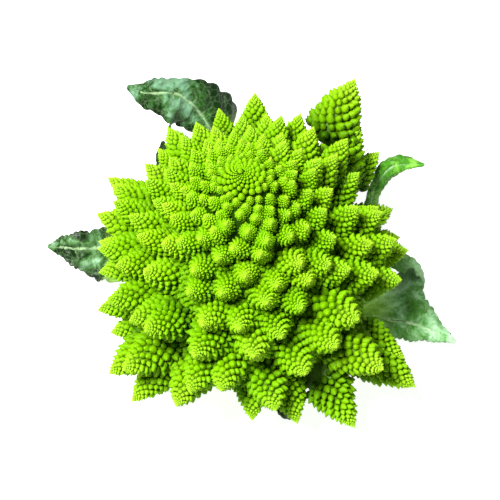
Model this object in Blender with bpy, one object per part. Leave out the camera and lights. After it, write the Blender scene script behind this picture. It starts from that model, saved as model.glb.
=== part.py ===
"""A romanesco head on its cut stalk, with the small leaves that were left round it.

The head is a dome of cone-shaped florets, and each floret is a cone of buds. Both follow the same
rule: neighbours in age stand one golden angle apart, and each is as wide as its place allows.
Lengths are in metres, +Z is up, and the origin is the middle of the stalk's cut face.
"""
import math
import random

import bmesh
import bpy
from mathutils import Matrix, Vector
from mathutils.geometry import delaunay_2d_cdt

MM = 0.001
GOLDEN_ANGLE = math.radians(137.507764)

# Dome that the floret tips stand on: a blunt cone above a round rim. At each polar angle it has a
# share of its full reach, and the florets there point along an axis of their own angle (degrees).
DOME_HEIGHT = 58 * MM
DOME_REACH = 76.5 * MM
DOME_ANGLES = (0, 8, 20, 32, 45, 60, 75, 90, 106)
DOME_SHARES = (1.02, 0.955, 0.88, 0.83, 0.805, 0.845, 0.925, 0.99, 1.0)
AXIS_ANGLES = (0, 14, 29, 37, 43, 47, 56, 72, 97)
APEX_SHIFT = Vector((-6 * MM, 0, 0))
DOME_END_ANGLE = math.radians(105)
ARC_STEPS = 2400
SPIRAL_START = math.radians(202)
SPIRAL_HAND = -1

# Florets: width of the largest, width near the apex per length of arc, and room taken by each
FLORET_WIDTH = 28 * MM
FLORET_SMALLEST = 2.2 * MM
WIDTH_PER_ARC = 0.38
FLORET_ROOM = 0.66

# How unevenly the florets stand: spreads of place and size are shares of the width. Each floret has
# eight chance values: three for its place, one for its reach, three for its axis, one for its size.
PLACE_SPREAD = 0.10
SIZE_SPREAD = 0.09
TILT_SPREAD = 0.09
REACH_SPREAD = 0.018
MOST_SPREAD = 1.8
CHANCE_VALUES = 8
SEED = 20

# Florets that stand out on the head: pixels of the tip in a 500 pixel photo taken from the front and
# above, and the width in mm. Some tips stand on the outline there, and the others face the view.
VIEW_ELEVATION = math.radians(62)
VIEW_MIDDLE = (254, 255)
PIXELS_PER_METRE = 2110
OUTLINE_TIPS = (
    (356, 77, 30), (301, 112, 19), (255, 88, 25), (218, 105, 15), (166, 124, 27), (157, 147, 15),
    (105, 176, 25), (94, 213, 27), (98, 310, 24), (111, 372, 24), (134, 399, 24), (252, 416, 24),
    (296, 419, 24), (352, 423, 26), (413, 385, 28), (403, 357, 23), (409, 250, 24), (399, 207, 23),
    (384, 148, 20),
)
FACING_TIPS = (
    (254, 349, 31), (266, 299, 20), (298, 262, 23), (325, 263, 20), (352, 315, 31), (318, 162, 23),
    (206, 320, 24), (193, 383, 26), (284, 146, 21), (224, 290, 15), (192, 290, 15), (152, 326, 22),
    (379, 213, 23), (335, 157, 20), (299, 303, 15),
)
FACING_SHARE = 1.025
LOWEST_TIP = math.radians(103)
SIGHT_START = 120 * MM
SIGHT_STEP = 0.5 * MM
SIGHT_STEPS = 400
STANDING_LEAST = 10 * MM
STANDING_CLEAR = 0.36

# A floret's shape, as shares of its width; florets under RELIEF_WIDTH are relief on the dome
FLORET_HEIGHT = 0.76
FLORET_FOOT = 0.42
FLORET_BLUNTNESS = 0.85
ROOT_FOOT = 0.26
ROOT_DEPTH = 0.25
RELIEF_WIDTH = 7 * MM
RELIEF_DEPTH = 0.8
FLOOR_DEPTH = 0.66
HOLLOW_LEAST_WIDTH = 3 * MM

# Floor of the hollows between the larger florets: rings of points round the dome
FLOOR_RINGS = 6
FLOOR_RING_POINTS = 13

# Sides where the older florets reach further out, or less far: azimuth, polar angle, share, spread
REACH_SIDES = (
    (56, 68, 0.30, 15),
    (-45, 100, 0.25, 24),
    (-128, 92, 0.14, 30),
    (28, 84, -0.22, 16),
    (-12, 96, -0.12, 12),
)

# Buds and foot sides of a floret, by the floret's width, and the buds' relief
BUD_COUNTS = ((14 * MM, 8, 6), (10 * MM, 4, 5), (0, 0, 5))
FIRST_BUD = 0.2
LAST_BUD = 0.78
BUD_SPREAD = 0.8
BUD_RISE = 0.06
BUD_HOLLOW = 0.07
FOOT_PLACE = 1.25

# Underside of the head, where the florets' branches run in to the stalk
BRANCH_ANGLE = math.radians(122)
BRANCH_REACH = 55 * MM
BRANCH_HOLLOW = 49 * MM
NECK_WIDTH = 48 * MM
NECK_HEIGHT = 20 * MM
NECK_SIDES = 24

# Stalk: height and half width of its outline, from the neck down to the cut foot
STALK_GAP = 0.4 * MM
FOOT_CLEARANCE = 0.5 * MM
STALK_OUTLINE = ((20, 22.5), (17, 21), (12, 19.5), (6, 19.5), (1.2, 20), (0, 18.8))
STALK_SIDES = 24

# Leaves: thickness of blade and rib, and how the edge waves and is cut
BLADE_THICKNESS = 0.9 * MM
RIB_THICKNESS = 4.2 * MM
RIB_TIP_THICKNESS = 1.2 * MM
RIB_HALF_WIDTH = 4.5 * MM
RIB_ROUNDNESS = 0.8
TIP_HALF_WIDTH = 0.6 * MM
BLADE_COLUMNS = (-1, -0.6, -0.2, 0, 0.2, 0.6, 1)
BLADE_ROWS = 17
SPINE_STEP = 0.01
CUP_SHARE = 0.12
EDGE_WAVES = 3.5
EDGE_WAVE_SHARE = 0.13
EDGE_WAVE_WIDEST = 14 * MM
EDGE_WAVE_CURVE = 1.5
EDGE_WAVE_ONSET = 3
EDGE_NOTCHES = 5.25
EDGE_NOTCH_SHARE = 0.16
EDGE_OFFSET = 0.2

# Each leaf starts on the stalk at an azimuth and a height. Then come points along its rib in mm from
# the dome's centre, each with the blade's half width on its two sides.
FACING_UP = (0, -0.47, 0.88)
FACING_HEAD = (0.3, -0.6, 0.7)
LEAVES = {
    "leaf_back_left": {
        "foot": (105, 10), "faces": FACING_HEAD,
        "rib": ((-12, 48, -47, 4, 4), (-18, 74, -36, 8, 6), (-25, 85, -20, 19, 10),
                (-36, 87, -4, 9, 17), (-49, 83, 3, 7, 8.5), (-59, 83, 8, 0.8, 0.8)),
    },
    "leaf_back_left_small": {
        "foot": (132, 14), "faces": FACING_HEAD,
        "rib": ((-27, 36, -43, 3.2, 3.2), (-38, 56, -38, 5, 5), (-45, 68, -26, 6, 6),
                (-46, 71, -12, 0.8, 0.8)),
    },
    "leaf_left": {
        "foot": (165, 12), "faces": FACING_UP,
        "rib": ((-45, 14, -47, 4, 4), (-68, 24, -43, 10, 17), (-82, 21.5, -37, 9, 12),
                (-91, 20, -33, 6, 4.5), (-97, 19, -30, 0.8, 0.8)),
    },
    "leaf_upper_right": {
        "foot": (35, 12), "faces": FACING_UP,
        "rib": ((36, 26, -46, 3.5, 3.5), (56, 40, -40, 3.5, 3.5), (61, 49, -19, 4, 3),
                (69, 50, -2, 4.5, 6), (82, 44, 10, 0.8, 0.8)),
    },
    "leaf_right": {
        "foot": (-14, 13), "faces": FACING_UP,
        "rib": ((44, -8, -47, 4, 4), (62, -10, -48, 6, 22), (74, -13, -46, 10, 27),
                (83, -17, -44, 8, 13), (92, -22, -43, 4, 5), (99, -26, -42, 0.8, 0.8)),
    },
    "leaf_right_under": {
        "foot": (14, 8), "faces": FACING_UP,
        "rib": ((42, 20, -52, 3.5, 3.5), (64, 26, -50, 4, 5), (80, 14, -46, 4, 6),
                (83, 3, -51, 0.8, 0.8)),
    },
    "leaf_front_small": {
        "foot": (-72, 12), "faces": FACING_UP,
        "rib": ((12, -42, -48, 3, 3), (16, -60, -46, 5, 5), (19, -64, -34, 0.8, 0.8)),
    },
}

# Colours and roughness
CURD_GREEN = (0.245, 0.545, 0.018)
CURD_ROUGHNESS = 0.55
STALK_GREEN = (0.55, 0.66, 0.30)
STALK_ROUGHNESS = 0.5
LEAF_GREEN = (0.16, 0.30, 0.13)
LEAF_ROUGHNESS = 0.6


def clear_scene():
    for item in list(bpy.data.objects):
        bpy.data.objects.remove(item, do_unlink=True)


def material(name, colour, roughness):
    surface = bpy.data.materials.new(name)
    surface.use_nodes = True
    shader = surface.node_tree.nodes["Principled BSDF"]
    shader.inputs["Base Color"].default_value = (*colour, 1.0)
    shader.inputs["Roughness"].default_value = roughness
    shader.inputs["Metallic"].default_value = 0.0
    surface.diffuse_color = (*colour, 1.0)
    return surface


def add_object(name, verts, faces, surface):
    mesh = bpy.data.meshes.new(name)
    mesh.from_pydata([tuple(v) for v in verts], [], faces)
    mesh.materials.append(surface)
    shape = bmesh.new()
    shape.from_mesh(mesh)
    bmesh.ops.recalc_face_normals(shape, faces=shape.faces)
    if shape.calc_volume(signed=True) < 0:
        bmesh.ops.reverse_faces(shape, faces=shape.faces)
    shape.to_mesh(mesh)
    shape.free()
    item = bpy.data.objects.new(name, mesh)
    bpy.context.scene.collection.objects.link(item)
    return item


def ring_point(turn, half, height):
    """A point at an angle on a level ring of a given half width."""
    return Vector((half * math.cos(turn), half * math.sin(turn), height))


def direction(azimuth, polar):
    return ring_point(azimuth, math.sin(polar), math.cos(polar))


def in_part(point):
    """A point given from the dome's centre, at its place in the part."""
    return point + Vector((0, 0, DOME_HEIGHT))


def in_head(point):
    """The same for a point of the head, whose apex leans aside."""
    return in_part(point + APEX_SHIFT * max(0.0, point.z / DOME_REACH))


def reach_share(way):
    """How far the head reaches along a direction, as a share of its plain dome."""
    share = 1.0
    for azimuth, polar, amount, spread in REACH_SIDES:
        side = direction(math.radians(azimuth), math.radians(polar))
        turn = math.degrees(way.angle(side))
        share += amount * math.exp(-((turn / spread) ** 2))
    return share


def on_dome(polar, values):
    """One of the dome's values at a polar angle."""
    angle = math.degrees(polar)
    rows = list(zip(DOME_ANGLES, values))
    for (low, near), (high, far) in zip(rows, rows[1:]):
        if angle <= high:
            return near + (far - near) * (angle - low) / (high - low)
    return values[-1]


def dome_radius(polar):
    return DOME_REACH * on_dome(polar, DOME_SHARES)


def floret_width(arc):
    return FLORET_WIDTH * math.tanh(WIDTH_PER_ARC * arc / FLORET_WIDTH)


def upward(way):
    """Axis of a floret, which grows outward and leans up."""
    return direction(math.atan2(way.y, way.x), math.radians(on_dome(math.acos(way.z), AXIS_ANGLES)))


def uneven(way, radius, width, chance):
    """One floret as (direction, reach, width, axis), set off a little from its even place."""
    shake = [max(-MOST_SPREAD, min(MOST_SPREAD, chance.gauss(0, 1))) for _ in range(CHANCE_VALUES)]
    size = width / FLORET_WIDTH
    way = (way + Vector(shake[:3]) * (PLACE_SPREAD * size * width / radius)).normalized()
    share = reach_share(way)
    reach = dome_radius(math.acos(way.z)) * share * (1 + REACH_SPREAD * size * shake[3])
    axis = (upward(way) + Vector(shake[4:7]) * TILT_SPREAD * size).normalized()
    return way, reach, width * share * (1 + SIZE_SPREAD * size * shake[7]), axis


def floret_layout():
    """Florets from the rim up to the apex, as (direction, reach, width, axis)."""
    chance = random.Random(SEED)
    arcs = [0.0]
    angles = [DOME_END_ANGLE * i / ARC_STEPS for i in range(ARC_STEPS + 1)]
    for low, high in zip(angles, angles[1:]):
        across = dome_radius(high) * math.sin(high) - dome_radius(low) * math.sin(low)
        down = dome_radius(high) * math.cos(high) - dome_radius(low) * math.cos(low)
        arcs.append(arcs[-1] + math.hypot(across, down))
    florets = []
    arc = arcs[-1]
    step = ARC_STEPS
    while arc > 0:
        while step > 0 and arcs[step - 1] > arc:
            step -= 1
        polar = angles[step]
        width = floret_width(arc)
        if width < FLORET_SMALLEST:
            break
        way = direction(SPIRAL_START + SPIRAL_HAND * len(florets) * GOLDEN_ANGLE, polar)
        florets.append(uneven(way, dome_radius(polar), width, chance))
        ring = 2 * math.pi * dome_radius(polar) * math.sin(polar)
        arc -= FLORET_ROOM * width * width / ring
    return florets


def sight_points(across, down):
    """Points along the line of sight through a pixel, from the nearest on, before the apex leans."""
    aside = (across - VIEW_MIDDLE[0]) / PIXELS_PER_METRE
    rise = (VIEW_MIDDLE[1] - down) / PIXELS_PER_METRE
    sine = math.sin(VIEW_ELEVATION)
    cosine = math.cos(VIEW_ELEVATION)
    points = []
    for step in range(SIGHT_STEPS):
        near = SIGHT_START - step * SIGHT_STEP
        point = Vector((aside, sine * rise - cosine * near, cosine * rise + sine * near))
        points.append(point - APEX_SHIFT * max(0.0, point.z / DOME_REACH))
    return points


def dome_share(point):
    """How far out a point is, as a share of the head's reach along its direction."""
    way = point.normalized()
    return point.length / (dome_radius(math.acos(way.z)) * reach_share(way))


def standing_tips():
    """Tips and widths of the florets that stand out: where the line of sight passes the dome for
    those on the outline, and where it meets the dome for the others."""
    tips = []
    for across, down, width in OUTLINE_TIPS:
        points = [p for p in sight_points(across, down) if p.z > p.length * math.cos(LOWEST_TIP)]
        tips.append((min(points, key=dome_share), width * MM))
    for across, down, width in FACING_TIPS:
        points = sight_points(across, down)
        tips.append((next(p for p in points if dome_share(p) < FACING_SHARE), width * MM))
    return tips


def with_standing(florets):
    """The florets with those that stand out in their own places, and none hidden under them."""
    standing = {}
    for tip, width in standing_tips():
        way = tip.normalized()
        free = [n for n, f in enumerate(florets) if n not in standing and f[2] > STANDING_LEAST]
        nearest = min(free, key=lambda n: florets[n][0].angle(way))
        standing[nearest] = (way, tip.length, width, upward(way))
    kept = []
    for number, floret in enumerate(florets):
        tip = floret[0] * floret[1]
        apart = [(tip - f[0] * f[1]).length > STANDING_CLEAR * f[2] for f in standing.values()]
        if number in standing or all(apart):
            kept.append(standing.get(number, floret))
    return kept


def flat_place(way):
    """Where a direction falls on a plane when it is seen from straight below the dome's centre. The
    nearest neighbours on a sphere stay nearest neighbours there."""
    return Vector((way.x, way.y)) / (1 + way.z)


def net(places):
    """Triangles that join each place on a plane to its nearest neighbours."""
    return delaunay_2d_cdt(places, [], [], 0, 1e-9)[2]


def floret_shape(width):
    """Points and faces of one floret round its own axis: tip, buds, the hollows between them, foot
    and root. The points' third value is the drop below the tip."""
    buds, sides = next((n, m) for least, n, m in BUD_COUNTS if width >= least)
    points = [Vector((0, 0, 0))]
    plan = [Vector((0, 0))]
    for number in range(buds):
        share = FIRST_BUD + (LAST_BUD - FIRST_BUD) * (number / (buds - 1)) ** BUD_SPREAD
        turn = number * GOLDEN_ANGLE
        out = FLORET_FOOT * share ** FLORET_BLUNTNESS + BUD_RISE
        points.append(ring_point(turn, out, FLORET_HEIGHT * share - BUD_RISE / 2))
        plan.append(ring_point(turn, share, 0).xy)
    foot = len(points)
    for number in range(sides):
        turn = 2 * math.pi * number / sides
        points.append(ring_point(turn, FLORET_FOOT, FLORET_HEIGHT))
        plan.append(ring_point(turn, FOOT_PLACE, 0).xy)
    faces = []
    for corners in net(plan):
        if 0 in corners or max(corners) >= foot:
            faces.append(list(corners))
            continue
        middle = sum((points[c] for c in corners), Vector((0, 0, 0))) / 3
        inward = 1 - BUD_HOLLOW / math.hypot(middle.x, middle.y)
        faces += [[corners[i], corners[(i + 1) % 3], len(points)] for i in range(3)]
        points.append(Vector((middle.x * inward, middle.y * inward, middle.z + BUD_HOLLOW)))
    root = len(points)
    for number in range(sides):
        points.append(ring_point(2 * math.pi * number / sides, ROOT_FOOT, FLORET_HEIGHT + ROOT_DEPTH))
        after = (number + 1) % sides
        faces.append([foot + number, foot + after, root + after, root + number])
    faces.append([root + number for number in range(sides)])
    return [p * width for p in points], faces


def place_floret(number, floret, surface):
    way, reach, width, axis = floret
    points, faces = floret_shape(width)
    side = Matrix.Rotation(number * GOLDEN_ANGLE, 3, axis) @ axis.orthogonal().normalized()
    other = axis.cross(side)
    placed = [in_head(way * reach - axis * p.z + side * p.x + other * p.y) for p in points]
    return add_object("floret.%03d" % number, placed, faces, surface)


def relief_points(florets):
    """Tips of the smallest florets, with a hollow wherever three of them meet."""
    points = [way * reach for way, reach, width, axis in florets if width < RELIEF_WIDTH]
    points.append(Vector((0, 0, dome_radius(0))))
    for corners in net([flat_place(floret[0]) for floret in florets]):
        near = [florets[c] for c in corners]
        widths = [floret[2] for floret in near]
        if HOLLOW_LEAST_WIDTH < max(widths) and min(widths) < RELIEF_WIDTH:
            middle = sum((floret[0] for floret in near), Vector((0, 0, 0))).normalized()
            depth = min(reach - RELIEF_DEPTH * width for way, reach, width, axis in near)
            points.append(middle * depth)
    return points


def floor_points(florets):
    """Floor of the hollows between the larger florets."""
    highest = max(f[0].z for f in florets if f[2] >= RELIEF_WIDTH)
    first = math.acos(highest)
    points = []
    for ring in range(FLOOR_RINGS):
        polar = first + (DOME_END_ANGLE - first) * ring / (FLOOR_RINGS - 1)
        for number in range(FLOOR_RING_POINTS):
            way = direction(2 * math.pi * (number + ring / 2) / FLOOR_RING_POINTS, polar)
            near = min(florets, key=lambda f: f[0].angle(way))
            points.append(way * (near[1] - FLOOR_DEPTH * near[2]))
    return points


def underside_points():
    """Ridges and hollows of the branches that carry the lowest florets."""
    points = []
    for number in range(2 * NECK_SIDES):
        reach = BRANCH_HOLLOW if number % 2 else BRANCH_REACH
        points.append(direction(math.pi * number / NECK_SIDES, BRANCH_ANGLE) * reach)
    return points


def neck_points():
    """Edge of the flat where the head meets its stalk."""
    turns = [2 * math.pi * number / NECK_SIDES for number in range(NECK_SIDES)]
    return [ring_point(turn, NECK_WIDTH / 2, NECK_HEIGHT - DOME_HEIGHT) for turn in turns]


def build_dome(florets, surface):
    """The head without its larger florets: relief near the apex, floor of the hollows, underside."""
    points = relief_points(florets) + floor_points(florets) + underside_points()
    neck = len(points)
    points += neck_points()
    faces = [list(f) for f in net([flat_place(p.normalized()) for p in points])]
    faces.append(list(range(neck, neck + NECK_SIDES)))
    return add_object("curd", [in_head(p) for p in points], faces, surface)


def keep_outer_skin(item):
    """Fills the small hollows that close between crowded florets, by taking their skins away."""
    mesh = bmesh.new()
    mesh.from_mesh(item.data)
    left = set(mesh.verts)
    skins = []
    while left:
        skin = set()
        edge = [left.pop()]
        while edge:
            vert = edge.pop()
            skin.add(vert)
            near = [link.other_vert(vert) for link in vert.link_edges]
            edge += [other for other in near if other in left]
            left.difference_update(near)
        skins.append(skin)
    skins.sort(key=len)
    inner = [vert for skin in skins[:-1] for vert in skin]
    bmesh.ops.delete(mesh, geom=inner, context="VERTS")
    mesh.to_mesh(item.data)
    mesh.free()


def build_curd():
    surface = material("curd_green", CURD_GREEN, CURD_ROUGHNESS)
    florets = with_standing(floret_layout())
    curd = build_dome(florets, surface)
    pieces = bpy.data.collections.new("florets")
    bpy.context.scene.collection.children.link(pieces)
    for number, floret in enumerate(florets):
        if floret[2] >= RELIEF_WIDTH:
            piece = place_floret(number, floret, surface)
            bpy.context.scene.collection.objects.unlink(piece)
            pieces.objects.link(piece)
    union = curd.modifiers.new("fused_florets", "BOOLEAN")
    union.operation = "UNION"
    union.operand_type = "COLLECTION"
    union.collection = pieces
    union.solver = "MANIFOLD"
    bpy.context.view_layer.objects.active = curd
    bpy.ops.object.modifier_apply(modifier=union.name)
    keep_outer_skin(curd)
    for piece in list(pieces.objects):
        bpy.data.objects.remove(piece, do_unlink=True)
    bpy.data.collections.remove(pieces)
    return curd


def build_stalk():
    outline = [(height * MM, half * MM) for height, half in STALK_OUTLINE]
    outline[0] = (NECK_HEIGHT - STALK_GAP, outline[0][1])
    points = []
    faces = []
    for height, half in outline:
        for number in range(STALK_SIDES):
            points.append(ring_point(2 * math.pi * number / STALK_SIDES, half, height))
    for row in range(len(outline) - 1):
        for number in range(STALK_SIDES):
            after = (number + 1) % STALK_SIDES
            low = (row + 1) * STALK_SIDES
            high = row * STALK_SIDES
            faces.append([low + number, low + after, high + after, high + number])
    faces.append(list(range(STALK_SIDES)))
    faces.append([(len(outline) - 1) * STALK_SIDES + number for number in range(STALK_SIDES)])
    surface = material("stalk_pale", STALK_GREEN, STALK_ROUGHNESS)
    return add_object("stalk", points, faces, surface)


def stalk_half_width(height):
    """Half width of the stalk at a height in mm."""
    for (high, wide), (low, narrow) in zip(STALK_OUTLINE, STALK_OUTLINE[1:]):
        if low <= height <= high:
            return (narrow + (wide - narrow) * (height - low) / (high - low)) * MM
    return STALK_OUTLINE[-1][1] * MM


def smooth_run(values, share):
    """A point on a smooth curve through the values, at a share of its length."""
    place = share * (len(values) - 1)
    at = min(int(place), len(values) - 2)
    t = place - at
    before = values[max(at - 1, 0)]
    start = values[at]
    end = values[at + 1]
    after = values[min(at + 2, len(values) - 1)]
    return 0.5 * (2 * start + (end - before) * t + (2 * before - 5 * start + 4 * end - after) * t ** 2
                  + (3 * start - before - 3 * end + after) * t ** 3)


def edge_share(share, side):
    """Half width of a blade with its cut edge, as a share of the plain blade."""
    teeth = abs(math.sin(math.pi * (EDGE_NOTCHES * share + EDGE_OFFSET * side)))
    return 1 - EDGE_NOTCH_SHARE * (1 - teeth)


def blade_point(share, column, wide, rib):
    """Offset of a blade's middle surface from its rib, sideways and upward, and the thickness."""
    side = 1 if column > 0 else -1
    wave = EDGE_WAVE_SHARE * min(wide, EDGE_WAVE_WIDEST) * abs(column) ** EDGE_WAVE_CURVE
    wave *= min(1, EDGE_WAVE_ONSET * share)
    lift = CUP_SHARE * wide * column ** 2 + wave * math.sin(2 * math.pi * EDGE_WAVES * share + side)
    beside = max(0, 1 - abs(column) * wide / RIB_HALF_WIDTH)
    return column * wide, lift, BLADE_THICKNESS + (rib - BLADE_THICKNESS) * beside ** RIB_ROUNDNESS


def blade_grid(leaf):
    """Middle surface of a leaf as rows of points, with the thickness at each."""
    azimuth, height = leaf["foot"]
    foot_half = stalk_half_width(height) + STALK_GAP + FOOT_CLEARANCE
    foot = ring_point(math.radians(azimuth), foot_half, height * MM - DOME_HEIGHT)
    spine = [foot] + [Vector(p[:3]) * MM for p in leaf["rib"]]
    halves = [leaf["rib"][0][3:]] + [p[3:] for p in leaf["rib"]]
    left = [h[0] * MM for h in halves]
    right = [h[1] * MM for h in halves]
    face = Vector(leaf["faces"])
    rows = []
    for row in range(BLADE_ROWS):
        share = row / (BLADE_ROWS - 1)
        middle = smooth_run(spine, share)
        before = smooth_run(spine, max(share - SPINE_STEP, 0))
        after = smooth_run(spine, min(share + SPINE_STEP, 1))
        ahead = (after - before).normalized()
        up = (face - ahead * face.dot(ahead)).normalized()
        across = ahead.cross(up)
        rib = RIB_THICKNESS + (RIB_TIP_THICKNESS - RIB_THICKNESS) * share
        line = []
        for column in BLADE_COLUMNS:
            wide = max(smooth_run(left if column > 0 else right, share), TIP_HALF_WIDTH)
            wide *= edge_share(share, 1 if column > 0 else -1)
            aside, lift, thick = blade_point(share, column, wide, rib)
            line.append((middle + across * aside + up * lift, thick))
        rows.append(line)
    return rows


def blade_rim():
    """Numbers of the grid points round a blade's edge, in order."""
    wide = len(BLADE_COLUMNS)
    last = BLADE_ROWS - 1
    rim = [r * wide for r in range(BLADE_ROWS)]
    rim += [last * wide + c for c in range(1, wide)]
    rim += [r * wide + wide - 1 for r in range(last - 1, -1, -1)]
    return rim + list(range(wide - 2, 0, -1))


def build_leaf(name, leaf, surface):
    """Two faces half a thickness either side of the blade's grid, split into triangles alike."""
    rows = blade_grid(leaf)
    wide = len(BLADE_COLUMNS)
    upper = []
    lower = []
    for r, line in enumerate(rows):
        for c, (point, thick) in enumerate(line):
            along = rows[min(r + 1, BLADE_ROWS - 1)][c][0] - rows[max(r - 1, 0)][c][0]
            over = line[min(c + 1, wide - 1)][0] - line[max(c - 1, 0)][0]
            out = over.cross(along).normalized()
            upper.append(in_part(point + out * thick / 2))
            lower.append(in_part(point - out * thick / 2))
    count = len(upper)
    faces = []
    for r in range(BLADE_ROWS - 1):
        for c in range(wide - 1):
            near = r * wide + c
            far = near + wide
            for three in ((near, near + 1, far + 1), (near, far + 1, far)):
                faces.append(list(three))
                faces.append([count + i for i in reversed(three)])
    rim = blade_rim()
    for a, b in zip(rim, rim[1:] + rim[:1]):
        faces.append([a, b, count + b, count + a])
    return add_object(name, upper + lower, faces, surface)


def build_leaves():
    surface = material("leaf_green", LEAF_GREEN, LEAF_ROUGHNESS)
    for name, leaf in LEAVES.items():
        build_leaf(name, leaf, surface)


clear_scene()
build_curd()
build_stalk()
build_leaves()
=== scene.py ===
"""Looks of the romanesco head: fine buds on every floret, veined leaves, the stalk and the studio."""
import math
import random

import bpy
import numpy as np
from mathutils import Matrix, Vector
from mathutils.geometry import delaunay_2d_cdt


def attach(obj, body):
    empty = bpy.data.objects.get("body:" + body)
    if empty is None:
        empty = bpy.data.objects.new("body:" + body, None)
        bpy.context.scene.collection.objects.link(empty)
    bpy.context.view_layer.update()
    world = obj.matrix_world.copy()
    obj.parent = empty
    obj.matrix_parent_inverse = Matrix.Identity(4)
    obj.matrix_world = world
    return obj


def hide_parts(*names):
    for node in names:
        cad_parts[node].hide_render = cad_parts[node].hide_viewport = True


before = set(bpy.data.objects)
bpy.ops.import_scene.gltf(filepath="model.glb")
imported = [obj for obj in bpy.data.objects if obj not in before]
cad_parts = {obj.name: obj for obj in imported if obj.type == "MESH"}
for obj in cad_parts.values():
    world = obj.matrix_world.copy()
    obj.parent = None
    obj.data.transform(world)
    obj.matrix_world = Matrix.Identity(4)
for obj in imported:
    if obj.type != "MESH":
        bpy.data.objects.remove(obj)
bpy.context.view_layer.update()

MM = 0.001
GOLDEN_ANGLE = math.radians(137.507764)
FREE_TURN = 6.28
UPRIGHT = 0.9

# The head's dome and floret spiral, as the solid has them
DOME_HEIGHT = 58 * MM
DOME_REACH = 76.5 * MM
DOME_ANGLES = (0, 8, 20, 32, 45, 60, 75, 90, 106)
DOME_SHARES = (1.02, 0.955, 0.88, 0.83, 0.805, 0.845, 0.925, 0.99, 1.0)
AXIS_ANGLES = (0, 14, 29, 37, 43, 47, 56, 72, 97)
APEX_SHIFT = np.array((-6 * MM, 0, 0))
DOME_END_ANGLE = math.radians(105)
ARC_STEPS = 2400
SPIRAL_START = math.radians(202)
SPIRAL_HAND = -1
FLORET_WIDTH = 28 * MM
FLORET_SMALLEST = 0.7 * MM
APEX_WIDTH = 3 * MM
APEX_RISE = 0.9 * MM
WIDTH_PER_ARC = 0.38
FLORET_ROOM = 0.66
PLACE_SPREAD = 0.10
SIZE_SPREAD = 0.09
TILT_SPREAD = 0.09
REACH_SPREAD = 0.018
MOST_SPREAD = 1.8
SHAKE_VALUES = 8
SEED = 20
REACH_SIDES = (
    (56, 68, 0.30, 15),
    (-45, 100, 0.25, 24),
    (-128, 92, 0.14, 30),
    (28, 84, -0.22, 16),
    (-12, 96, -0.12, 12),
)

# Florets that stand out on the head, as the solid has them: pixels of the tip, and the width in mm
VIEW_ELEVATION = math.radians(62)
VIEW_MIDDLE = (254, 255)
PIXELS_PER_METRE = 2110
OUTLINE_TIPS = (
    (356, 77, 30), (301, 112, 19), (255, 88, 25), (218, 105, 15), (166, 124, 27), (157, 147, 15),
    (105, 176, 25), (94, 213, 27), (98, 310, 24), (111, 372, 24), (134, 399, 24), (252, 416, 24),
    (296, 419, 24), (352, 423, 26), (413, 385, 28), (403, 357, 23), (409, 250, 24), (399, 207, 23),
    (384, 148, 20),
)
FACING_TIPS = (
    (254, 349, 31), (266, 299, 20), (298, 262, 23), (325, 263, 20), (352, 315, 31), (318, 162, 23),
    (206, 320, 24), (193, 383, 26), (284, 146, 21), (224, 290, 15), (192, 290, 15), (152, 326, 22),
    (379, 213, 23), (335, 157, 20), (299, 303, 15),
)
FACING_SHARE = 1.025
LOWEST_TIP = math.radians(103)
SIGHT_START = 120 * MM
SIGHT_STEP = 0.5 * MM
SIGHT_STEPS = 400
STANDING_LEAST = 10 * MM
STANDING_CLEAR = 0.36

# A fine floret's outline as shares of its width, and the smooth cone under its buds, painted dark as shade
FLORET_HEIGHT = 1.0
FLORET_FOOT = 0.41
FLORET_BLUNTNESS = 0.88
FOOT_TURN_IN = 0.14
FOOT_TURN_START = 0.75
OUTLINE_STEPS = 200
CONE_SHARES = (0.03, 0.2, 0.45, 0.7, 0.88, 1.0, 1.15)
CONE_SIDES = 12
CONE_FILL = 0.9
CONE_ROOT_FILL = 0.6
# Painted shade: how dark the cone under the buds is
CONE_SHADE_TONE = 0.05
SMALL_FLORET = 12 * MM
SECTORS = 6

# Buds: width as a share of the floret's, larger on the small florets, and how they lean and sit
BUD_SHARE = 0.142
BUD_SHARE_SMALL = 0.09
SINGLE_BUD_WIDTH = 4.4 * MM
SINGLE_BUD_DEPTH = 0.66
SINGLE_BUD_SIZE = 0.86
# A lone bud's share below the tip sets only its colour: painted shade that darkens the curd towards a
# floret's foot
SINGLE_BUD_SHARE = 0.45
# How much of the painted shade in pits and at bud edges a bud gets, by its width
PIT_SHADE_FULL_WIDTH = 2.6 * MM
PIT_SHADE_LEAST = 0.15
BUD_PER_ARC = 0.37
BUD_ROOM = 0.84
BUD_SMALLEST = 0.38 * MM
BUD_SIZES = (0.78, 1.18)
BUD_LAST_WIDTH = 0.012
HIDDEN_DEPTH = 0.35
NEAR_SHARE = 1.3
FOOT_SHARE = 0.96
TIP_BUD_SHARE = 1.15
TIP_BUD_COVER = 2.3
BUD_LEAN = 0.42
BUD_LEAST_TURN = 0.02
BUD_TILT_SPREAD = 0.09
BUD_HEIGHT = 0.92
BUD_FOOT = 0.5
BUD_BLUNTNESS = 0.78
BUD_STRETCH = (0.78, 1.18)

# Small florets set off from their even places: how much by their width, and in what
UNEVEN_WIDTH = 13 * MM
UNEVEN_SIZES = (0, 0.3, 0.45, 0.75, 1.2)
UNEVEN_SHARES = (0, 0.12, 0.6, 1, 0)
UNEVEN_PLACE = 0.11
UNEVEN_RISE = 0.10
UNEVEN_SIZE = 0.12
UNEVEN_TILT = 0.16

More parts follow.
